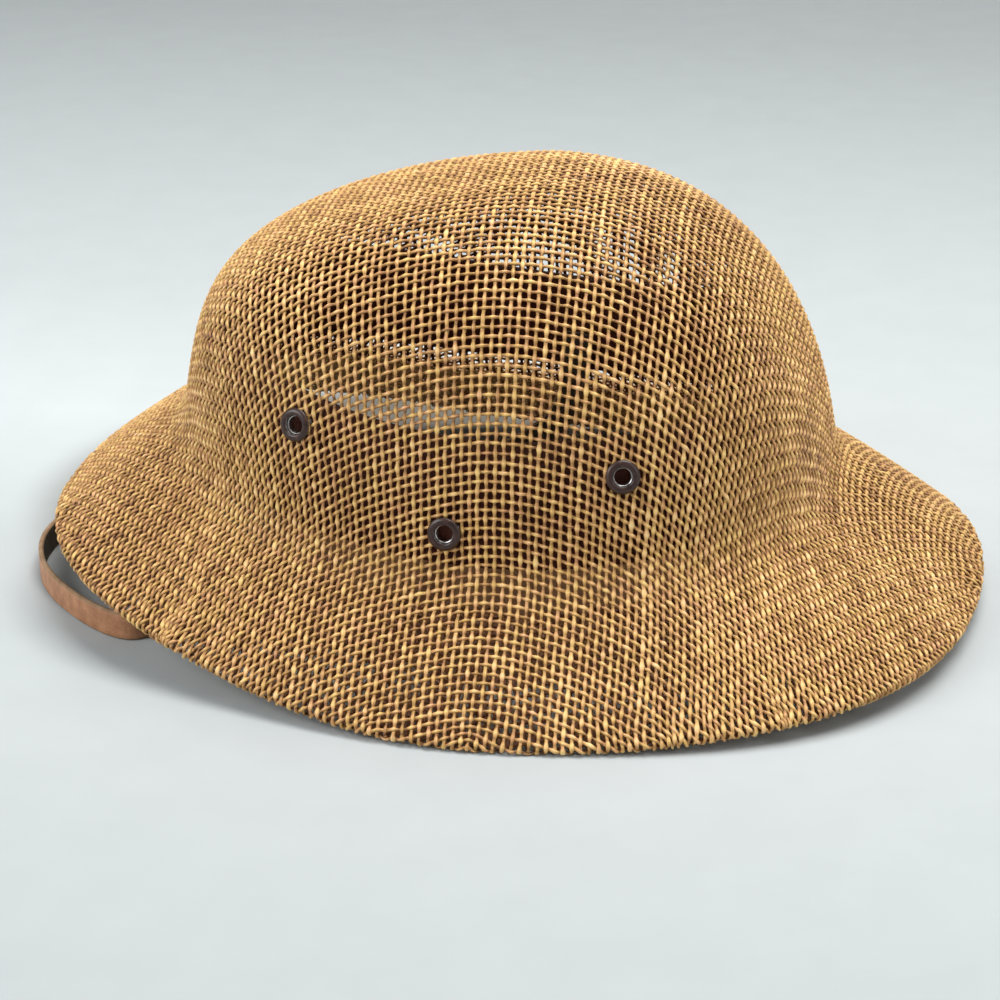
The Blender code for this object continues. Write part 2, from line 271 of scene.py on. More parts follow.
def crown_point(turn, rise):
    n = roundness(turn)
    return crown_curve(turn, (1 - rise ** n) ** (1 / n), rise)


def run_of(points):
    """Distance along a polyline at each of its points."""
    return np.concatenate([[0.0], np.cumsum(norm(np.diff(points, axis=0), axis=1))])


def stretch(points, start, end, count):
    """Evenly spaced points of a polyline between two distances along it."""
    runs = run_of(points)
    wanted = np.linspace(start, end, count)
    return np.stack([np.interp(wanted, runs, points[:, k]) for k in range(points.shape[1])], -1)


def section(turn, lie):
    """(reach, height) points from the pole to the rim and on, and the distance to the rim.

    The cloth beyond the rim goes straight on, hangs under the rim as the brim's mirror image, or
    lies folded under the brim as it does in the end."""
    n = roundness(turn)
    angle = np.radians(np.linspace(90, 0, 97))
    size = (np.cos(angle) ** n + np.sin(angle) ** n) ** (-1 / n)
    crown = crown_curve(turn, np.cos(angle) * size, np.sin(angle) * size)
    foot, rim = np.array(foot_at(turn)), np.array(rim_at(turn))
    out = np.linspace(0, 1, 49)[:, None]
    bow = np.concatenate([out, out * (1 - BRIM_BOW) + BRIM_BOW * out ** 2], 1)
    brim = foot + (rim - foot) * bow
    brim_run = run_of(brim)[-1]
    start = stretch(crown, 0, run_of(crown)[-1] - FILLET, 120)
    end = stretch(brim, FILLET, brim_run, 80)
    f = np.linspace(0, 1, 24)[1:-1, None]
    bend = start[-1] * (1 - f) ** 2 + foot * 2 * f * (1 - f) + end[0] * f ** 2
    points = [start, bend, end]
    rim_run = run_of(np.concatenate(points))[-1]
    outward = (brim[-1] - brim[-2]) / norm(brim[-1] - brim[-2])
    if lie == "straight":
        points.append(rim[None] + outward * EXTEND)
    elif lie == "hanging":
        mirrored = brim[::-1][1:] * (1, -1) + (0, 2 * rim[1])
        inward = (mirrored[-1] - mirrored[-2]) / norm(mirrored[-1] - mirrored[-2])
        points += [mirrored, mirrored[-1:] + inward * EXTEND / 2]
    else:
        down = np.array([outward[1], -outward[0]])
        a = np.linspace(0, np.pi, 17)[1:, None]
        points.append(rim + FOLD_RADIUS * (down * (1 - np.cos(a)) + outward * np.sin(a)))
        under = stretch(brim, brim_run, brim_run * UNDER_EDGE, 60)[1:]
        points.append(under + down * 2 * FOLD_RADIUS)
    return np.concatenate(points), rim_run


def tabulate(lie):
    """Sections at every turn, resampled to equal rows, with each one's length and rim distance."""
    grid, ends, rims = [], [], []
    for turn in np.linspace(0, 2 * np.pi, TURN_STEPS + 1):
        points, rim_run = section(turn, lie)
        end = run_of(points)[-1]
        grid.append(stretch(points, 0, end, ROWS + 1))
        ends.append(end)
        rims.append(rim_run)
    return {"grid": np.array(grid), "ends": np.array(ends), "rims": np.array(rims)}


STRAIGHT = tabulate("straight")
HANGING = tabulate("hanging")
SHEET = tabulate("folded")


def turn_place(turn):
    f = (turn / (2 * np.pi) % 1) * TURN_STEPS
    k = np.minimum(f.astype(int), TURN_STEPS - 1)
    return k, f - k


def between(values, turn):
    k, f = turn_place(turn)
    return values[k] * (1 - f) + values[k + 1] * f


def nearest(table, points):
    """(turn, run) of the closest place of a table: run is the distance from the pole."""
    turn = np.arctan2(points[:, 1], points[:, 0])
    reach = np.hypot(points[:, 0], points[:, 1])
    k, f = turn_place(turn)
    run = np.empty(len(points))
    for first in range(0, len(points), 4000):
        b = slice(first, first + 4000)
        g = f[b, None, None]
        rows = table["grid"][k[b]] * (1 - g) + table["grid"][k[b] + 1] * g
        gap = (rows[:, :, 0] - reach[b, None]) ** 2 + (rows[:, :, 1] - points[b, 2, None]) ** 2
        m = np.clip(gap.argmin(1), 1, ROWS - 1)
        n = np.arange(len(m))
        low, mid, high = gap[n, m - 1], gap[n, m], gap[n, m + 1]
        run[b] = m + np.clip((low - high) / (2 * (low - 2 * mid + high)), -1, 1)
    return turn, run / ROWS * between(table["ends"], turn)


def sheet_point(table, turn, run):
    k, f = turn_place(turn)
    row = np.clip(run / between(table["ends"], turn), 0, 1) * ROWS
    m = np.minimum(row.astype(int), ROWS - 1)
    g, f = (row - m)[..., None], f[..., None]
    grid = table["grid"]
    here = grid[k, m] * (1 - g) + grid[k, m + 1] * g
    there = grid[k + 1, m] * (1 - g) + grid[k + 1, m + 1] * g
    flat = here * (1 - f) + there * f
    return np.stack([flat[..., 0] * np.cos(turn), flat[..., 0] * np.sin(turn), flat[..., 1]], -1)


def unit(vectors):
    return vectors / np.maximum(norm(vectors, axis=-1, keepdims=True), 1e-12)


def sheet_normal(turn, run):
    """Outward side of the folded sheet."""
    run = np.maximum(run, 0.003)
    round_way = sheet_point(SHEET, turn + 0.004, run) - sheet_point(SHEET, turn - 0.004, run)
    out_way = sheet_point(SHEET, turn, run + 0.0004) - sheet_point(SHEET, turn, run - 0.0004)
    return unit(np.cross(out_way, round_way))


def net_springs(keep, step):
    """(first, second, rest length, stiffness) of the springs, in sets that share no node."""
    number = np.arange(keep.size).reshape(keep.shape)
    alive = keep.ravel()
    across, along = WEFT_PITCH * step, WARP_PITCH * step
    springs = []

    def add(first, second, rest, stiffness):
        first, second = first.ravel(), second.ravel()
        both = alive[first] & alive[second]
        springs.append((first[both], second[both], rest, stiffness))

    for odd in (0, 1):
        rows, next_rows = number[odd:-1:2], number[odd + 1::2]
        columns, next_columns = number[:, odd:-1:2], number[:, odd + 1::2]
        add(rows, next_rows[:len(rows)], across, 1.0)
        add(columns, next_columns[:, :columns.shape[1]], along, 1.0)
        add(rows[:, :-1], next_rows[:len(rows), 1:], math.hypot(across, along), NET_SHEAR)
        add(rows[:, 1:], next_rows[:len(rows), :-1], math.hypot(across, along), NET_SHEAR)
    return springs


def path_shares(table, nodes, turn, run, first, second):
    """How much longer the way along the surface is than the straight line, for each spring."""
    turn_gap = (turn[second] - turn[first] + np.pi) % (2 * np.pi) - np.pi
    points = [nodes[first]]
    for f in (0.25, 0.5, 0.75):
        runs = run[first] * (1 - f) + run[second] * f
        points.append(sheet_point(table, turn[first] + f * turn_gap, runs))
    points.append(nodes[second])
    way = sum(norm(b - a, axis=1) for a, b in zip(points, points[1:]))
    shares = way / norm(nodes[second] - nodes[first], axis=1)
    return np.where(np.minimum(run[first], run[second]) < POLE_ZONE, 1.0, np.clip(shares, 1, 2.5))


def relax(net, table, sweeps, pinned=None):
    """Pulls the net's springs to their rest lengths along the surface, and leaves the pinned nodes."""
    nodes, keep = net["nodes"].reshape(-1, 3).copy(), net["keep"]
    cloth = np.flatnonzero(keep.ravel())
    if pinned is None:
        pinned = np.array([keep.size // 2])
    fixed = nodes[pinned].copy()
    turn, run = np.zeros(keep.size), np.zeros(keep.size)
    springs = net_springs(keep, net["step"])
    for sweep in range(sweeps + 1):
        turn[cloth], run[cloth] = nearest(table, nodes[cloth])
        nodes[cloth] = sheet_point(table, turn[cloth], run[cloth])
        nodes[pinned] = fixed
        if sweep == sweeps:
            break
        if sweep % MEASURE_EVERY == 0:
            shares = [path_shares(table, nodes, turn, run, *spring[:2]) for spring in springs]
        for (first, second, rest, stiffness), share in zip(springs, shares):
            gap = nodes[second] - nodes[first]
            length = norm(gap, axis=1) * share
            move = gap * (stiffness / 2 * (1 - rest / length))[:, None]
            nodes[first] += move
            nodes[second] -= move
        nodes[pinned] = fixed
    shape = keep.shape
    return {"nodes": nodes.reshape(*shape, 3), "keep": keep, "step": net["step"],
            "turn": turn.reshape(shape), "run": run.reshape(shape)}


def cubic_weights(f):
    """Catmull-Rom weights of the four nodes around a fractional place."""
    return np.stack([-f + 2 * f ** 2 - f ** 3, 2 - 5 * f ** 2 + 3 * f ** 3,
                     f + 4 * f ** 2 - 3 * f ** 3, -f ** 2 + f ** 3], -1) / 2


def net_place(net, table, i, j):
    """(turn, run) at fractional crossings, and which of them lie on cloth."""
    weights, bases = [], []
    for place, count in zip((i, j), net["keep"].shape):
        f = place / net["step"] + count // 2
        base = np.clip(np.floor(f).astype(int), 1, count - 3)
        bases.append(base)
        weights.append(cubic_weights(f - base))
    home = net["turn"][bases[0], bases[1]]
    points, turn, run, whole, inner = 0.0, 0.0, 0.0, True, np.inf
    for a in range(4):
        for b in range(4):
            near = bases[0] + a - 1, bases[1] + b - 1
            weight = weights[0][..., a] * weights[1][..., b]
            points = points + weight[..., None] * net["nodes"][near]
            turned = (net["turn"][near] - home + np.pi) % (2 * np.pi) - np.pi
            turn, run = turn + weight * turned, run + weight * net["run"][near]
            whole = whole & net["keep"][near]
            inner = np.minimum(inner, net["run"][near])
    turn = turn + home
    middle = whole & (inner < POLE_ZONE)
    turn[middle], run[middle] = nearest(table, points[middle])
    return turn, run, whole


def grid_places(step):
    """Crossing numbers of a net's nodes, with the pole's in the middle."""
    counts = [math.ceil(STRAIGHT["ends"].max() / pitch / step) for pitch in (WEFT_PITCH, WARP_PITCH)]
    return np.meshgrid(*(np.arange(-n, n + 1) * step for n in counts), indexing="ij")


def drape_net():
    """Drapes the flat cloth over crown and brim, then turns its hem under the brim."""
    i, j = grid_places(NET_STEPS[0])
    angle = np.arctan2(j * WARP_PITCH, i * WEFT_PITCH)
    away = np.hypot(i * WEFT_PITCH, j * WARP_PITCH) * (1 + DIAGONAL_STRETCH * np.sin(2 * angle) ** 2)
    turn = angle + WEAVE_TURN
    keep = away < between(SHEET["ends"], turn) + NET_MARGIN
    net = {"nodes": sheet_point(STRAIGHT, turn, away), "keep": keep, "step": NET_STEPS[0]}
    net = relax(net, STRAIGHT, NET_SWEEPS[0])
    for step, sweeps in zip(NET_STEPS[1:], NET_SWEEPS[1:]):
        turn, run, keep = net_place(net, STRAIGHT, *grid_places(step))
        net = {"nodes": sheet_point(STRAIGHT, turn, run), "keep": keep, "step": step}
        net = relax(net, STRAIGHT, sweeps)
    upper = net["run"] <= between(STRAIGHT["rims"], net["turn"])
    hung = sheet_point(HANGING, net["turn"], net["run"])
    net["nodes"] = np.where(upper[..., None], net["nodes"], hung)
    return relax(net, HANGING, HEM_SWEEPS, pinned=np.flatnonzero(upper & net["keep"]))


def in_row(points):
    """From the form's own place to the frame's."""
    return points + FRAME_SHIFT


def frame_shift():
    """The frame's box against the form: the part's source centres the model and settles its rim."""
    lo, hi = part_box("shell")
    reach, height = SHEET["grid"][..., 0], SHEET["grid"][..., 1]
    back = (reach * np.cos(np.linspace(0, 2 * np.pi, TURN_STEPS + 1))[:, None]).max() + CLOTH / 2
    return np.array([hi[0] - back, 0.0, hi[2] - height.max() - CLOTH / 2])


def cord_grid(net, cords, steps, lengthways, rng):
    """(turn, run, whole) of one set of cords at every step, each cord a little astray."""
    count = (len(cords), 1)
    astray = 0.0
    for share, wave in WANDER_WAVES:
        astray = astray + share * WANDER * np.sin(steps / wave + rng.uniform(0, 2 * np.pi, count))
    knocks = rng.normal(0, JITTER, (len(cords), len(steps) // PER_CROSSING + 2))
    place = np.arange(len(steps)) / PER_CROSSING
    low = place.astype(int)
    astray = astray + knocks[:, low] * (1 - place + low) + knocks[:, low + 1] * (place - low)
    across = cords[:, None] + astray
    along = np.broadcast_to(steps, across.shape)
    i, j = (along, across) if lengthways else (across, along)
    return net_place(net, HANGING, i, j)


def weave_cords(net, lengthways, holes, rng):
    """Rings of one set of cords: centres, ways, sizes and marks, and which ring follows which."""
    shape = net["keep"].shape
    halves = [count // 2 * net["step"] for count in shape]
    if not lengthways:
        halves = halves[::-1]
    steps = np.arange(-halves[0] * PER_CROSSING, halves[0] * PER_CROSSING + 1) / PER_CROSSING
    cords = np.arange(-halves[1], halves[1] + 1)
    turn, run, whole = cord_grid(net, cords, steps, lengthways, rng)
    rim, end = between(SHEET["rims"], turn), between(SHEET["ends"], turn)
    points, normal = sheet_point(SHEET, turn, run), sheet_normal(turn, run)
    shown = whole & (run < end)
    for hole in holes:
        shown &= (norm(points - hole, axis=-1) > EYELET_CLEAR) | (run > rim)
    near = np.rint(steps).astype(int)
    wave = np.cos(np.pi * (steps - near)) * (1 - 2 * ((near + cords[:, None] + lengthways) % 2))
    middle = points + normal * (wave * CORD_SWING)[..., None]
    way = unit(np.gradient(middle, axis=1))
    gap = np.gradient(points, axis=0)
    spacing = norm(gap - way * np.sum(gap * way, -1, keepdims=True), axis=-1)
    crossing, half = steps % 1 == 0, steps % 1 == 0.5
    turning = (run > rim + FOLD_ZONE[0]) & (run < rim + FOLD_ZONE[1])
    taken = shown & (crossing | (half & (run < rim + HALF_RINGS)) | turning)
    breaks = np.cumsum(~shown, axis=1)
    key = (cords[:, None] - cords[0]) * breaks.shape[1] * 2 + breaks
    lengths = np.bincount(key[taken], minlength=key.max() + 1)
    taken &= lengths[key] >= SHORTEST_CORD
    cord_tone = rng.normal(0, 1, (len(cords), 1))
    float_tone = rng.normal(0, 1, (len(cords), len(steps) // PER_CROSSING + 1))
    float_tone = float_tone[:, np.rint(np.arange(len(steps)) / PER_CROSSING).astype(int)]
    dip = 1 - np.abs(wave)
    on_top, below, narrow = WARP_WIDTHS if lengthways else WEFT_WIDTHS
    width = np.where(wave > 0, on_top, below) * (1 - dip) + narrow * dip
    width = width * (1 + UNEVEN[0] * cord_tone + UNEVEN[1] * float_tone)
    right = np.clip(points[..., 1] / RIGHT_FULL_FROM, 0, 1)
    width = width * (1 + RIGHT_FULLER * right * (run < rim / 2))
    width = np.minimum(width, CROWDING * spacing)
    thick = CORD_THICK * np.clip(1 + THICK_GIVE * (1 - width / narrow), *THICK_RANGE)
    along = np.cumsum(norm(np.diff(points, axis=1, prepend=points[:, :1]), axis=2), axis=1)
    return {
        "centre": in_row(middle[taken]), "way": way[taken], "normal": normal[taken],
        "width": width[taken], "thick": thick[taken], "key": key[taken],
        "cord": np.broadcast_to(cords[:, None], key.shape)[taken], "along": along[taken],
        "tone": (TONE_SHARES[0] * cord_tone + TONE_SHARES[1] * float_tone)[taken],
        "dip": dip[taken],
    }


def press_on_floor(points):
    """Squeezes what would lie below the floor into the last PRESS_ZONE above it."""
    z = points[:, 2]
    points[:, 2] = np.where(z < PRESS_ZONE, PRESS_ZONE - (PRESS_ZONE - z) * PRESS_SHARE, z)
    points[:, 2] = np.maximum(points[:, 2], 0.0)
    return points


def mesh_from(name, points, corners, sizes):
    """A smooth mesh from points, the corners of all faces in a row, and each face's corner count."""
    mesh = bpy.data.meshes.new(name)
    mesh.vertices.add(len(points))
    mesh.vertices.foreach_set("co", points.astype(np.float32).ravel())
    mesh.loops.add(len(corners))
    mesh.loops.foreach_set("vertex_index", corners.astype(np.int32))
    mesh.polygons.add(len(sizes))
    starts = np.cumsum(sizes) - sizes
    mesh.polygons.foreach_set("loop_start", starts.astype(np.int32))
    mesh.update(calc_edges=True)
    mesh.shade_smooth()
    made = bpy.data.objects.new(name, mesh)
    bpy.context.scene.collection.objects.link(made)
    return made


def mark(piece, name, values):
    """Keeps a number or a vector for each point, for the materials."""
    kind, key = ("FLOAT", "value") if values.ndim == 1 else ("FLOAT_VECTOR", "vector")
    kept = piece.data.attributes.new(name, kind, "POINT")
    kept.data.foreach_set(key, values.astype(np.float32).ravel())


def strip_map(count, length, girth):
    """Lays the quads of tubes out as rows of strips, with a margin of 6% along both edges."""
    columns = max(1, round(math.sqrt(count * girth / length)))
    rows = math.ceil(count / columns)
    quad = np.arange(count)[:, None]
    side = np.arange(CORD_SIDES)[None, :]
    left, right = (quad % columns) / columns, (quad % columns + 1) / columns
    room = 0.88 / rows
    low = (quad // columns + 0.06) / rows + side / CORD_SIDES * room
    high = low + room / CORD_SIDES
    left, right = np.broadcast_to(left, low.shape), np.broadcast_to(right, low.shape)
    return np.stack([left, low, left, high, right, high, right, low], -1).reshape(-1, 2)


def quads_between(here, there, sides):
    """Corners of the quads between two rings of points, or between many."""
    k = np.arange(sides)
    after = (k + 1) % sides
    return np.stack([here + k, here + after, there + after, there + k], -1).ravel()


def cord_mesh(name, rings, chosen, looks):
    """Tubes through the chosen rings, capped at both ends of every cord."""
    ring = {key: values[chosen] for key, values in rings.items()}
    count = len(ring["key"])
    turn = np.arange(CORD_SIDES) * 2 * np.pi / CORD_SIDES
    way = ring["way"]
    up = unit(ring["normal"] - way * np.sum(ring["normal"] * way, -1, keepdims=True))
    side = np.cross(up, way)
    c, s = np.cos(turn)[None, :, None], np.sin(turn)[None, :, None]
    points = (ring["centre"][:, None] + side[:, None] * c * ring["width"][:, None, None] / 2
              + up[:, None] * s * ring["thick"][:, None, None] / 2)
    points = press_on_floor(points.reshape(-1, 3))
    joined = np.flatnonzero(ring["key"][1:] == ring["key"][:-1])
    k = np.arange(CORD_SIDES)
    here = joined[:, None] * CORD_SIDES
    quads = quads_between(here, here + CORD_SIDES, CORD_SIDES)
    starts = np.flatnonzero(np.concatenate([[True], ring["key"][1:] != ring["key"][:-1]]))
    ends = np.concatenate([starts[1:], [count]]) - 1
    caps = np.concatenate([starts[:, None] * CORD_SIDES + k[::-1], ends[:, None] * CORD_SIDES + k])
    sizes = np.concatenate([np.full(len(joined) * CORD_SIDES, 4), np.full(len(caps), CORD_SIDES)])
    piece = mesh_from(name, points, np.concatenate([quads, caps.ravel()]), sizes)
    uv = strip_map(len(joined), WEFT_PITCH / 2, 3.2 * CORD_THICK)
    rest = np.full((caps.size, 2), 0.5 / max(len(joined), 1))
    layer = piece.data.uv_layers.new(name="OFBake")
    layer.data.foreach_set("uv", np.concatenate([uv, rest]).astype(np.float32).ravel())
    offset = ring["cord"] * FIBRE_STEPS[0] + ring["along"]
    wide = np.cos(turn)[None] * CORD_THICK * FIBRE_WIDE + ring["cord"][:, None] * FIBRE_STEPS[1]
    tall = np.sin(turn)[None] * CORD_THICK / 2
    fibre = np.stack(np.broadcast_arrays(offset[:, None], wide, tall), -1)
    mark(piece, "fibre", fibre.reshape(-1, 3))
    mark(piece, "tone", np.repeat(ring["tone"], CORD_SIDES))
    mark(piece, "dip", np.repeat(ring["dip"], CORD_SIDES))
    mark(piece, "lie", np.tile(np.sin(turn), count))
    piece.data.materials.append(looks["cord"])
    return piece


def weave_pieces(net, holes, looks):
    """The whole cloth, as three pieces for each of the two sets of cords."""
    rng = np.random.default_rng(WEAVE_SEED)
    for names, lengthways in ((WARP_NAMES, True), (WEFT_NAMES, False)):
        rings = weave_cords(net, lengthways, holes, rng)
        share = np.arange(len(rings["cord"])) * len(names) // len(rings["cord"])
        first = [rings["cord"][np.searchsorted(share, k)] for k in range(1, len(names))]
        group = np.searchsorted(first, rings["cord"], side="right")
        for k, name in enumerate(names):
            piece = cord_mesh(name, rings, np.flatnonzero(group == k), looks)
            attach(piece, "root")
            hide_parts("shell")


def skin(name, loops, closed):
    """A skin over loops of equal count, joined end to end or capped."""
    rows, sides = loops.shape[:2]
    row = np.arange(rows if closed else rows - 1)[:, None]
    quads = quads_between(row * sides, (row + 1) % rows * sides, sides)
    sizes = np.full(len(quads) // 4, 4)
    if not closed:
        side = np.arange(sides)
        quads = np.concatenate([quads, side[::-1], (rows - 1) * sides + side])
        sizes = np.concatenate([sizes, [sides, sides]])
    return mesh_from(name, loops.reshape(-1, 3), quads, sizes)


def eyelet_place(name):
    """(mid-cloth at its axis, outward way) of an eyelet of the frame."""
    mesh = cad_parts[name].data
    points = np.empty(len(mesh.vertices) * 3)
    mesh.vertices.foreach_get("co", points)
    points = points.reshape(-1, 3)
    middle = points.mean(0)
    way = np.linalg.eigh(np.cov((points - middle).T))[1][:, 0]
    if way[:2] @ middle[:2] < 0:
        way = -way
    top = CLOTH / 2 + CLEARANCE + EYELET_TOP
    return middle + way * (((points - middle) @ way).max() - top), way


def eyelet(name, looks):
    """A painted flange with a bare barrel that is set over a washer inside."""
    middle, way = eyelet_place(name)
    east = unit(np.cross([0.0, 0.0, 1.0], way))
    north = np.cross(way, east)
    turn = np.arange(EYELET_TURNS) * 2 * np.pi / EYELET_TURNS
    profile = np.array(EYELET_PROFILE) / 1000
    reach, height = profile[:, 0, None, None], profile[:, 1, None, None]
    ring = east * np.cos(turn)[:, None] + north * np.sin(turn)[:, None]
    loops = middle + way * height + ring[None] * reach
    piece = skin(name + "_finished", loops, closed=True)
    bare = [EYELET_BARE[0] <= row < EYELET_BARE[1] for row in range(len(profile))]
    piece.data.materials.append(looks["paint"])
    piece.data.materials.append(looks["metal"])
    piece.data.polygons.foreach_set("material_index", np.repeat(bare, EYELET_TURNS).astype(np.int32))
    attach(piece, "root")
    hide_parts(name)


def band_line(turn):
    """Low and high ends of the sweatband's middle line at one turn, in the frame."""
    foot_reach, foot_height = foot_at(turn)
    seat = crown_point(turn, BAND_RISE / (HEIGHT - foot_height))
    c = math.cos(turn)
    inset = BAND_INSET + ((BAND_INSET if c > 0 else BAND_FRONT_INSET) - BAND_INSET) * c * c
    low = seat[0] - (CLOTH / 2 + CLEARANCE + BAND_THICK / 2), seat[1]
    high = foot_reach - inset, foot_height + BAND_SHARE * (HEIGHT - FOOT_HEIGHT)
    return np.array(low), np.array(high)


def band_point(turn, up):
    low, high = band_line(turn)
    reach, height = low + (high - low) * up
    return in_row(np.array([reach * math.cos(turn), reach * math.sin(turn), height]))


def sweatband(looks):
    """Leatherette band with a rolled top edge, a sewn lower edge and a butted seam at the back."""
    turns = np.arange(BAND_TURNS) * 2 * np.pi / BAND_TURNS
    half = BAND_THICK / 2
    bead = np.radians(np.linspace(-55, 235, 12))
    loops, edges = [], []
    for turn in turns:
        low, high = band_line(turn)
        up = unit(high - low)
        out = np.array([up[1], -up[0]])
        tall = norm(high - low)
        walls = [(half * 0.6, 0.0), (half, 0.0006), (half, 0.0028), (half - 0.00012, BAND_ROW),
                 (half, 0.0040), (half, tall * 0.25), (half, tall * 0.5), (half, tall * 0.75),
                 (half, tall - 0.0034)]
        top = [(BAND_BEAD * math.cos(a), tall - BAND_BEAD * (1 - math.sin(a))) for a in bead]
        back = [(-o, u) for o, u in walls[::-1]]
        profile = np.array(walls + top + back)
        away = min(turn, 2 * math.pi - turn) * low[0]
        profile[:, 0] *= 1 - BAND_SEAM[0] * math.exp(-(away / BAND_SEAM[1]) ** 2)
        reach, height = (low + profile[:, :1] * out + profile[:, 1:] * up).T
        loops.append(np.stack([reach * math.cos(turn), reach * math.sin(turn), height], 1))
        edges.append(np.clip((profile[:, 1] - tall + BAND_RUB) / BAND_RUB, 0, 1))
    piece = skin("sweatband_leatherette", in_row(np.array(loops)), closed=True)
    mark(piece, "edge", np.array(edges).ravel())
    piece.data.materials.append(looks["band"])
    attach(piece, "root")
    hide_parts("sweatband")


def thread_bits(name, bits, thick, look):
    """Short raised stitches, each from its start to its end and standing off along its own way."""
    rise = np.array([-0.35, 0.55, 0.8, 0.55, -0.35])
    f = np.linspace(0, 1, len(rise))
    size = np.array([0.75, 1.0, 1.0, 1.0, 0.75]) * thick / 2
    turn = np.arange(CORD_SIDES) * 2 * np.pi / CORD_SIDES
    pieces, corners, sizes = [], [], []
    for n, (start, end, up) in enumerate(bits):
        way = unit(end - start)
        side = np.cross(up, way)
        centre = start + (end - start) * f[:, None] + up * rise[:, None] * thick / 2
        ring = side * np.cos(turn)[:, None] + up * np.sin(turn)[:, None]
        pieces.append((centre[:, None] + ring[None] * size[:, None, None]).reshape(-1, 3))
        first = n * len(rise) * CORD_SIDES
        k = np.arange(CORD_SIDES)
        for row in range(len(rise) - 1):
            here = first + row * CORD_SIDES
            corners.append(quads_between(here, here + CORD_SIDES, CORD_SIDES))
            sizes += [4] * CORD_SIDES
        corners += [first + k[::-1], first + (len(rise) - 1) * CORD_SIDES + k]
        sizes += [CORD_SIDES, CORD_SIDES]
    piece = mesh_from(name, np.concatenate(pieces), np.concatenate(corners), np.array(sizes))
    piece.data.materials.append(look)
    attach(piece, "root")


def band_stitches(looks):
    """The row that closes the band's lower edge, on its inner face."""
    bits = []
    count = round(2 * math.pi * BAND_MEAN_REACH / BAND_STITCH)
    for n in range(count):
        turn = 2 * math.pi * n / count
        span = STITCH_HALF_SHARE * 2 * math.pi / count
        low, high = band_line(turn)
        tall = norm(high - low)
        start, end = (band_point(turn + way * span, BAND_ROW / tall) for way in (-1, 1))
        inward = -np.array([math.cos(turn), math.sin(turn), 0.0])
        inward = unit(inward - unit(end - start) * (inward @ unit(end - start)))
        seat = inward * BAND_THICK / 2
        bits.append((start + seat, end + seat, inward))
    thread_bits("band_stitches", bits, THREAD_THICK, looks["band_thread"])


def smooth(values, places):
    """Catmull-Rom points at fractional places of an open list."""
    last = len(values) - 1
    first = np.minimum(places.astype(int), last - 1)
    weights = cubic_weights(places - first)
    return sum(weights[:, k, None] * values[np.clip(first + k - 1, 0, last)] for k in range(4))


def strap_path():
    """Centre line of the strap, from the left end inside the sweatband to the right end."""
    inner = BAND_THICK / 2 + 2 * CLEARANCE + STRAP_THICK / 2
    half = STRAP_WIDTH / 2
    ends = []
    for sign in (-1.0, 1.0):
        edge = band_point(sign * math.pi / 2, 0.0)[2]
        top = band_point(sign * math.pi / 2, STRAP_END_SHARE)
        top[0] -= FRAME_SHIFT[0]
        top[1] -= sign * inner
        low = np.array([top[0] - half / 3, top[1], edge])
        ends.append([top, low, np.array([top[0] - STRAP_WIDTH, top[1], edge / 2])])
    along, across = np.array(STRAP_ROUTE).T
    floor = np.stack([along * BRIM_LENGTH / 2, across * BRIM_WIDTH / 2,
                      np.full(len(along), half + STRAP_FLOOR_GAP)], 1)
    return np.concatenate([ends[0], floor, ends[1][::-1]]) + (FRAME_SHIFT[0], 0, 0)


def strap_section():
    """(across, out) of a strap with rounded edges, and which look each side of it has."""
    w, t = STRAP_WIDTH / 2, STRAP_THICK / 2
    r = STRAP_ROUNDING * STRAP_THICK
    corner = np.radians([0, 30, 60, 90])
    loop, looks = [], []
    for sign_w, sign_t, start in ((1, 1, 0), (-1, 1, 90), (-1, -1, 180), (1, -1, 270)):
        for a in corner + math.radians(start):
            loop.append((sign_w * (w - r) + r * math.cos(a), sign_t * (t - r) + r * math.sin(a)))
            looks.append(1)
        if start in (0, 180):
            looks[-1] = 0 if start == 0 else 2
            for f in (0.2, 0.4, 0.6, 0.8):
                loop.append((sign_w * (w - r) * (1 - 2 * f), sign_t * t))
                looks.append(0 if start == 0 else 2)
    return np.array(loop), np.array(looks)


def chin_strap(looks):
    """Flat leather strap on edge: a smooth outer face, cut edges and a dark inner face."""
    path = strap_path()
    count = STRAP_STATIONS
    stations = smooth(path, np.linspace(0, len(path) - 1, count + 1))
    outline, sides = strap_section()
    loops = []
    for i, centre in enumerate(stations):
        ahead = stations[min(i + 1, count)] - stations[max(i - 1, 0)]
        heading = unit(ahead * (1, 1, 0))
        lengthways = np.array([-1.0 if i * 2 < count else 1.0, 0.0, 0.0])
        hanging = max(0.0, 1 - min(i, count - i) / (count * STRAP_TWIST_SHARE)) ** 0.5
        heading = heading * (1 - hanging) + lengthways * hanging
        inward = unit(np.array([heading[1], -heading[0], 0.0]))
        across = unit(np.cross(inward, ahead))
        if across[2] < 0 or (abs(across[2]) < 0.05 and across[0] > 0):
            across = -across
        outward = unit(np.cross(across, ahead))
        if outward @ inward > 0:
            outward = -outward
        low = centre[2] - abs(across[2]) * STRAP_WIDTH / 2
        lift = max(0.0, STRAP_FLOOR_GAP - low)
        middle = centre + (0, 0, lift)
        loops.append(middle + outline[:, :1] * across + outline[:, 1:] * outward)
    piece = skin("chin_strap_leather", np.array(loops), closed=False)
    for key in ("strap", "strap_edge", "strap_inner"):
        piece.data.materials.append(looks[key])
    index = np.concatenate([np.tile(sides, count), [1, 1]])
    piece.data.polygons.foreach_set("material_index", index.astype(np.int32))
    places = (run_of(stations)[:, None], outline[None, :, 0], outline[None, :, 1])
    fibre = np.stack(np.broadcast_arrays(*places), -1)
    mark(piece, "fibre", fibre.reshape(-1, 3))
    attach(piece, "root")
    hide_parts("chin_strap")


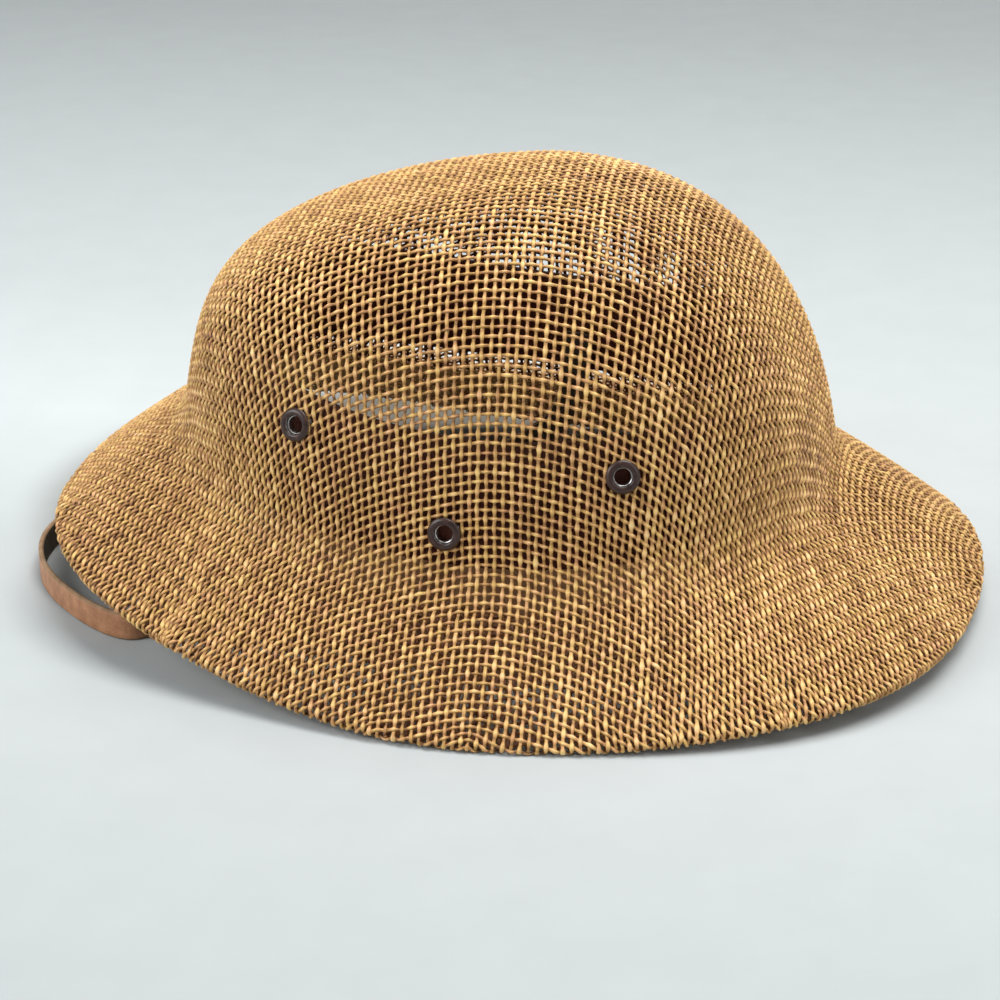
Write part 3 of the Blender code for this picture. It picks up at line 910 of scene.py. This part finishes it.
def new_material(name, rough, specular, metallic=0.0):
    """A material and its tree and shader, with the settings that are the same all over."""
    made = bpy.data.materials.new(name)
    made.use_nodes = True
    shader = made.node_tree.nodes["Principled BSDF"]
    shader.inputs["Roughness"].default_value = rough
    shader.inputs["Specular IOR Level"].default_value = specular
    shader.inputs["Metallic"].default_value = metallic
    return made, made.node_tree, shader


def add(tree, kind, inputs=None, **settings):
    """A node with its settings, and its inputs by name or number: values or other nodes' outputs."""
    made = tree.nodes.new("ShaderNode" + kind)
    for key, value in settings.items():
        setattr(made, key, value)
    for key, value in (inputs or {}).items():
        if isinstance(value, bpy.types.NodeSocket):
            tree.links.new(value, made.inputs[key])
        else:
            made.inputs[key].default_value = value
    return made


def marked(tree, name, output):
    return add(tree, "Attribute", attribute_name=name).outputs[output]


def vectors(tree, kind, *values):
    return add(tree, "VectorMath", dict(enumerate(values)), operation=kind).outputs


def scaled(tree, vector, scale):
    return vectors(tree, "MULTIPLY", vector, scale)[0]


def noise(tree, vector, scale, detail=3.0, rough=0.55):
    made = add(tree, "TexNoise",
               {"Vector": vector, "Scale": scale, "Detail": detail, "Roughness": rough})
    return made.outputs["Fac"]


def maths(tree, kind, *values):
    return add(tree, "Math", dict(enumerate(values)), operation=kind).outputs[0]


def ramp(tree, value, stops):
    made = add(tree, "ValToRGB", {"Fac": value})
    elements = made.color_ramp.elements
    while len(elements) < len(stops):
        elements.new(0.5)
    for element, (place, colour) in zip(elements, stops):
        element.position = place
        element.color = (*colour, 1.0)
    return made.outputs["Color"]


def mixed(tree, share, a, b, blend="MIX"):
    made = add(tree, "Mix", data_type="RGBA", blend_type=blend)
    for key, value in ((0, share), (6, a), (7, b)):
        if isinstance(value, bpy.types.NodeSocket):
            tree.links.new(value, made.inputs[key])
        else:
            made.inputs[key].default_value = value if key == 0 else (*value, 1.0)
    return made.outputs[2]


def weighed(tree, value, weight, level):
    return maths(tree, "MULTIPLY_ADD", value, weight, level)


def swayed(tree, level, value, weight):
    """A level, raised or lowered by how far a pattern is from its middle."""
    return weighed(tree, maths(tree, "SUBTRACT", value, 0.5), weight, level)


def share_of(tree, value, low, high, **settings):
    """0 at the low value and 1 at the high one."""
    inputs = {"Value": value, "From Min": low, "From Max": high}
    return add(tree, "MapRange", inputs, **settings).outputs[0]


def dress(tree, shader, colour, rough=None):
    tree.links.new(colour, shader.inputs["Base Color"])
    if rough is not None:
        tree.links.new(rough, shader.inputs["Roughness"])


def bumped(tree, shader, height, distance, strength):
    made = add(tree, "Bump", {"Height": height, "Distance": distance, "Strength": strength})
    tree.links.new(made.outputs["Normal"], shader.inputs["Normal"])


def object_place(tree):
    return add(tree, "TexCoord").outputs["Object"]


def cord_look():
    """Varnished paper cord: fibre streaks along each cord, a tone of its own for each float, and
    painted shade on its sides and inner faces and where it dips under the crossing cords."""
    made, tree, shader = new_material("paper_cord", 0.45, 0.5)
    fibre, tone = marked(tree, "fibre", "Vector"), marked(tree, "tone", "Fac")
    dip, lie = marked(tree, "dip", "Fac"), marked(tree, "lie", "Fac")
    streak = noise(tree, scaled(tree, fibre, (320, 2600, 2600)), 1.0)
    fine = noise(tree, scaled(tree, fibre, (900, 7000, 7000)), 1.0, 2.0)
    patch = noise(tree, object_place(tree), 22.0, 2.0)
    hue = noise(tree, scaled(tree, fibre, (190, 60, 60)), 1.0, 2.0)
    level = weighed(tree, tone, 0.085, 0.56)
    level = swayed(tree, level, streak, 0.55)
    level = swayed(tree, level, patch, 0.35)
    # Painted shade: each cord is darker where it dips under the crossing cords.
    level = weighed(tree, dip, -0.36, level)
    golden = ramp(tree, level, ((0.0, (0.150, 0.058, 0.012)), (0.35, (0.51, 0.285, 0.080)),
                                (0.62, (0.79, 0.525, 0.178)), (1.0, (0.92, 0.70, 0.32))))
    rosy = ramp(tree, level, ((0.0, (0.155, 0.050, 0.018)), (0.35, (0.52, 0.240, 0.105)),
                              (0.62, (0.80, 0.455, 0.230)), (1.0, (0.92, 0.64, 0.38))))
    share = add(tree, "Clamp", {"Value": swayed(tree, 0.25, hue, 2.6)}).outputs[0]
    # Painted shade: each cord's sides and most of all its face towards the helmet's inside are darker.
    outward = share_of(tree, lie, -0.55, 0.55)
    painted_inner_shade = mixed(tree, outward, (0.24, 0.115, 0.060), WHITE)
    colour = mixed(tree, 1.0, mixed(tree, share, golden, rosy), painted_inner_shade, "MULTIPLY")
    dress(tree, shader, colour, weighed(tree, dip, 0.12, weighed(tree, fine, 0.30, 0.30)))
    bumped(tree, shader, weighed(tree, fine, 0.5, streak), 0.00012, 0.7)
    return made


def band_look():
    """Dark red-brown grained leatherette, rubbed lighter along its rolled edge."""
    made, tree, shader = new_material("dark_leatherette", 0.6, 0.2)
    place = object_place(tree)
    cells = add(tree, "TexVoronoi", {"Vector": place, "Scale": 900.0},
                feature="DISTANCE_TO_EDGE").outputs["Distance"]
    wear = noise(tree, place, 90.0, 4.0)
    rub = maths(tree, "MULTIPLY", marked(tree, "edge", "Fac"), wear)
    colour = ramp(tree, wear, ((0.3, (0.080, 0.018, 0.009)), (0.7, (0.120, 0.030, 0.016))))
    colour = mixed(tree, rub, colour, (0.17, 0.085, 0.050))
    dress(tree, shader, colour, weighed(tree, wear, 0.25, 0.45))
    bumped(tree, shader, cells, 0.0003, 0.6)
    return made


def leather_look(name, dark, light, grain, rough):
    """Leather from a dark to a light tone, with pores of a size and creases across its length."""
    made, tree, shader = new_material(name, rough, 0.4)
    fibre = marked(tree, "fibre", "Vector")
    mottle = noise(tree, fibre, 260.0, 5.0, 0.6)
    pores = noise(tree, fibre, grain, 2.0, 0.6)
    crease = noise(tree, scaled(tree, fibre, (900, 120, 120)), 1.0, 3.0)
    colour = ramp(tree, swayed(tree, mottle, pores, 0.6), ((0.25, dark), (0.75, light)))
    dress(tree, shader, colour, weighed(tree, pores, 0.3, rough - 0.15))
    bumped(tree, shader, weighed(tree, crease, 0.5, pores), 0.00015, 0.6)
    return made


def paint_look():
    """Dark brown paint on a pressed flange, thin and rubbed in places."""
    made, tree, shader = new_material("eyelet_paint", 0.35, 0.5)
    place = object_place(tree)
    wear = noise(tree, place, 650.0, 4.0)
    colour = ramp(tree, wear, ((0.35, (0.018, 0.006, 0.004)), (0.62, (0.040, 0.014, 0.009)),
                               (0.80, (0.13, 0.06, 0.040))))
    dress(tree, shader, colour, weighed(tree, wear, 0.35, 0.18))
    bumped(tree, shader, wear, 0.0001, 0.4)
    return made


def metal_look():
    """Dull plated barrel, a little tarnished."""
    made, tree, shader = new_material("eyelet_barrel_metal", 0.35, 0.5, metallic=1.0)
    tarnish = noise(tree, object_place(tree), 800.0, 3.0)
    colour = ramp(tree, tarnish, ((0.3, (0.30, 0.29, 0.28)), (0.7, (0.62, 0.61, 0.59))))
    dress(tree, shader, colour, weighed(tree, tarnish, 0.3, 0.2))
    bumped(tree, shader, tarnish, 0.00005, 0.4)
    return made


def thread_look(name, dark, light):
    made, tree, shader = new_material(name, 0.75, 0.3)
    twist = noise(tree, object_place(tree), 2200.0, 2.0)
    dress(tree, shader, ramp(tree, twist, ((0.3, dark), (0.7, light))))
    bumped(tree, shader, twist, 0.0001, 0.6)
    return made


def oval_share(tree, place, middle, oval, edges):
    """0 beyond the outer edge of an oval on the floor, and 1 within the inner one."""
    inside = scaled(tree, vectors(tree, "SUBTRACT", place, middle)[0], oval)
    away = vectors(tree, "LENGTH", inside)["Value"]
    return share_of(tree, away, *edges, interpolation_type="SMOOTHSTEP")


def stage_look():
    """Pale paper with painted light that falls off to the back as the photograph's backdrop does,
    brightest near the helmet, with a painted shadow oval and a painted shade oval, and clear from
    below so that the underside can be seen."""
    made, tree, shader = new_material("pale_floor", 0.9, 0.1)
    place = object_place(tree)
    depth = add(tree, "SeparateXYZ", {0: place}).outputs["Y"]
    # Painted light: the paper is brightest near the helmet and darker towards the backdrop.
    stops = [(stop, tuple(level * c for c in STAGE_TINT)) for stop, level in STAGE_PAINTED_LIGHT]
    tone = ramp(tree, share_of(tree, depth, *FADE), stops)
    mottle = ramp(tree, noise(tree, place, 40.0, 2.0), ((0.3, (0.97, 0.97, 0.97)), (0.7, WHITE)))
    tone = mixed(tree, 1.0, tone, mottle, "MULTIPLY")
    # Painted shadow behind the far rim, and painted shade under the crown.
    shadow = oval_share(tree, place, SHADOW_MIDDLE, SHADOW_OVAL, SHADOW_EDGES)
    tone = mixed(tree, 1.0, tone, mixed(tree, shadow, WHITE, SHADOW_TONE), "MULTIPLY")
    shade = oval_share(tree, place, SHADE_MIDDLE, SHADE_OVAL, SHADE_EDGES)
    tone = mixed(tree, shade, tone, SHADE_TONE)
    far = share_of(tree, vectors(tree, "LENGTH", place)["Value"], *FAR_ZONE)
    dress(tree, shader, mixed(tree, far, tone, FAR_TONE))
    below = add(tree, "NewGeometry").outputs["Backfacing"]
    clear = add(tree, "BsdfTransparent").outputs[0]
    sheet = add(tree, "MixShader", {0: below, 1: shader.outputs[0], 2: clear}).outputs[0]
    tree.links.new(sheet, tree.nodes["Material Output"].inputs["Surface"])
    return made


def stage(look):
    """Floor and backdrop in one curved sheet."""
    profile = [(y, FLOOR) for y in STAGE_DEPTHS]
    back = STAGE_DEPTHS[-1]
    profile += [(back + STAGE_BEND * math.sin(a), FLOOR + STAGE_BEND * (1 - math.cos(a)))
                for a in np.radians(np.linspace(6, 90, 15))]
    profile.append(STAGE_TOP)
    rows = np.array([[(x, y, z) for x in np.linspace(*STAGE_WIDTHS)] for y, z in profile])
    count, width = rows.shape[:2]
    k = (np.arange(count - 1)[:, None] * width + np.arange(width - 1)[None, :]).ravel()
    quads = np.stack([k, k + 1, k + width + 1, k + width], -1).ravel()
    sheet = mesh_from("floor_and_backdrop", rows.reshape(-1, 3), quads, np.full(len(k), 4))
    sheet.data.materials.append(look)


def lamp(name, place, size, power, colour):
    light = bpy.data.lights.new(name, "AREA")
    light.shape = "RECTANGLE"
    light.size, light.size_y = size
    light.energy = power
    light.color = colour
    made = bpy.data.objects.new(name, light)
    made.location = place
    made.rotation_euler = (Vector(LAMP_TARGET) - Vector(place)).to_track_quat("-Z", "Y").to_euler()
    bpy.context.scene.collection.objects.link(made)


def lights():
    for row in LAMPS:
        lamp(*row)
    world = bpy.data.worlds.new("studio")
    world.use_nodes = True
    background = world.node_tree.nodes["Background"]
    background.inputs["Color"].default_value = (*WORLD_COLOUR, 1.0)
    background.inputs["Strength"].default_value = WORLD_STRENGTH
    bpy.context.scene.world = world
    bpy.context.scene.view_settings.view_transform = "Standard"


def camera():
    az, el, roll = (math.radians(a) for a in CAMERA_ANGLES)
    back = Vector((math.sin(az) * math.cos(el), -math.cos(az) * math.cos(el), math.sin(el)))
    right = Vector((math.cos(az), math.sin(az), 0.0))
    up = back.cross(right)
    turned = right * math.cos(roll) + up * math.sin(roll)
    upward = up * math.cos(roll) - right * math.sin(roll)
    lens = bpy.data.cameras.new("camera")
    lens.lens = CAMERA_LENS
    lens.sensor_width = 36.0
    lens.clip_start = 0.05
    made = bpy.data.objects.new("camera", lens)
    place = Vector(CAMERA_TARGET) + back * CAMERA_DISTANCE
    axes = Matrix((turned, upward, back)).transposed().to_4x4()
    made.matrix_world = Matrix.Translation(place) @ axes
    bpy.context.scene.collection.objects.link(made)
    bpy.context.scene.camera = made


def all_looks():
    return {
        "cord": cord_look(),
        "band": band_look(),
        "band_thread": thread_look("black_thread", (0.012, 0.011, 0.010), (0.035, 0.032, 0.030)),
        "paint": paint_look(),
        "metal": metal_look(),
        "strap": leather_look("strap_outer_leather", (0.29, 0.125, 0.055), (0.52, 0.255, 0.130),
                              2600.0, 0.5),
        "strap_edge": leather_look("strap_cut_edge", (0.20, 0.115, 0.060), (0.38, 0.24, 0.135),
                                   3000.0, 0.8),
        "strap_inner": leather_look("strap_inner_leather", (0.034, 0.024, 0.013),
                                    (0.075, 0.054, 0.031), 2000.0, 0.75),
    }


def main():
    camera()
    lights()
    looks = all_looks()
    stage(stage_look())
    rows = ("front", "back", "low")
    eyelets = [f"vent_eyelet_{side}_{row}" for side in ("left", "right") for row in rows]
    holes = [eyelet_place(name)[0] - FRAME_SHIFT for name in eyelets]
    weave_pieces(drape_net(), holes, looks)
    for name in eyelets:
        eyelet(name, looks)
    sweatband(looks)
    band_stitches(looks)
    chin_strap(looks)


FRAME_SHIFT = frame_shift()
main()
